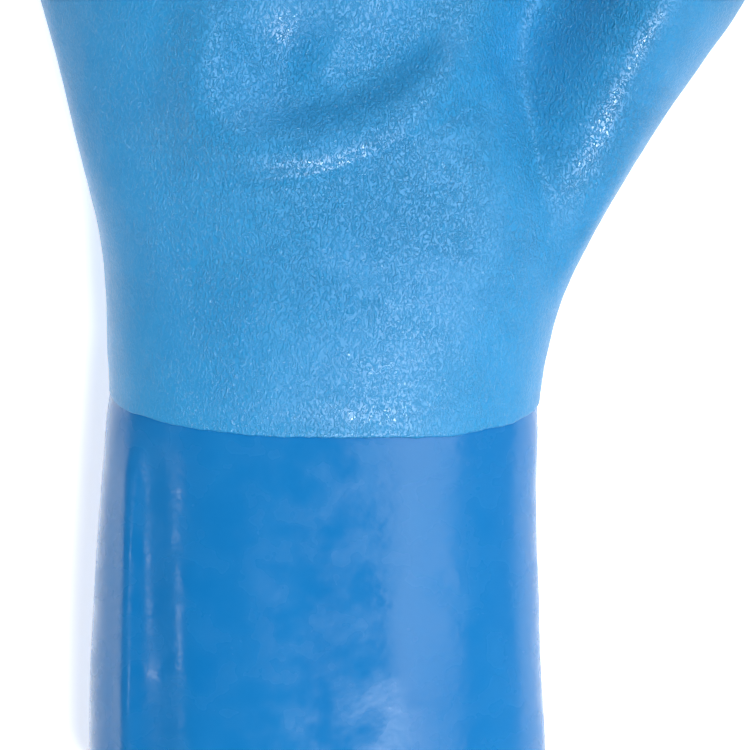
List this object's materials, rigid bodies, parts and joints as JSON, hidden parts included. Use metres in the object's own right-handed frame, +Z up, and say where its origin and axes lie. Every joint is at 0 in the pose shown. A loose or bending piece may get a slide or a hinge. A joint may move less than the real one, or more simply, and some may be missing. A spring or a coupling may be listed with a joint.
{
  "type": "pvc coated work glove",
  "caption": "Right-hand gauntlet work glove of smooth soft PVC with a rough second coat over the hand and a long flared cuff.",
  "frame": {"origin": "under the middle of the glove's box, on the surface that the back of the hand lies on", "axes": "+X towards the thumb's side, +Y from the cuff to the fingertips, +Z up out of the palm"},
  "size_m": [0.182, 0.296, 0.0635],
  "materials": {
    "smooth_pvc": "satin gloss, smooth dipped PVC",
    "rough_pvc": "crinkled, rough dipped PVC"
  },
  "bodies": {
    "root": {"base_glove": "smooth_pvc", "grip_coat": "rough_pvc"}
  },
  "joints": []
}
